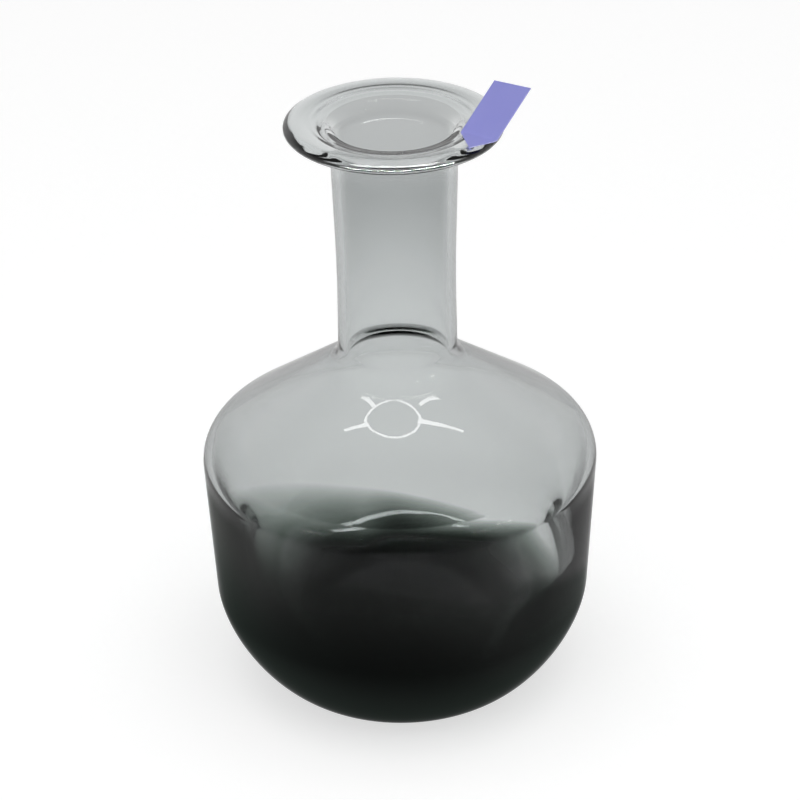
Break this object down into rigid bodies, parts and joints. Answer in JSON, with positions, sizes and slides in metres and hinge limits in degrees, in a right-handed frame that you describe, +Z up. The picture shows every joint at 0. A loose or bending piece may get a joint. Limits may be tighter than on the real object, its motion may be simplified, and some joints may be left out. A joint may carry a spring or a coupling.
{
  "type": "whiskey decanter",
  "caption": "Mouth-blown glass decanter with a flared lip, slender neck, conical shoulder and a heavy smoke-coloured base, with a plain tag on its lip.",
  "frame": {"origin": "centre of the foot, on the surface that the decanter stands on", "axes": "+Z up along the decanter's axis, -Y towards the viewer of the picture, +X to that viewer's right"},
  "size_m": [0.14, 0.14, 0.2331],
  "materials": {
    "clear_glass": "fire-polished, clear",
    "smoke_glass": "fire-polished, smoke grey fading upwards",
    "tag_film": "plain matt violet"
  },
  "bodies": {
    "root": {"clear_glass_vessel": "clear_glass", "smoke_glass_casing": "smoke_glass", "rim_tag": "tag_film"}
  },
  "joints": []
}
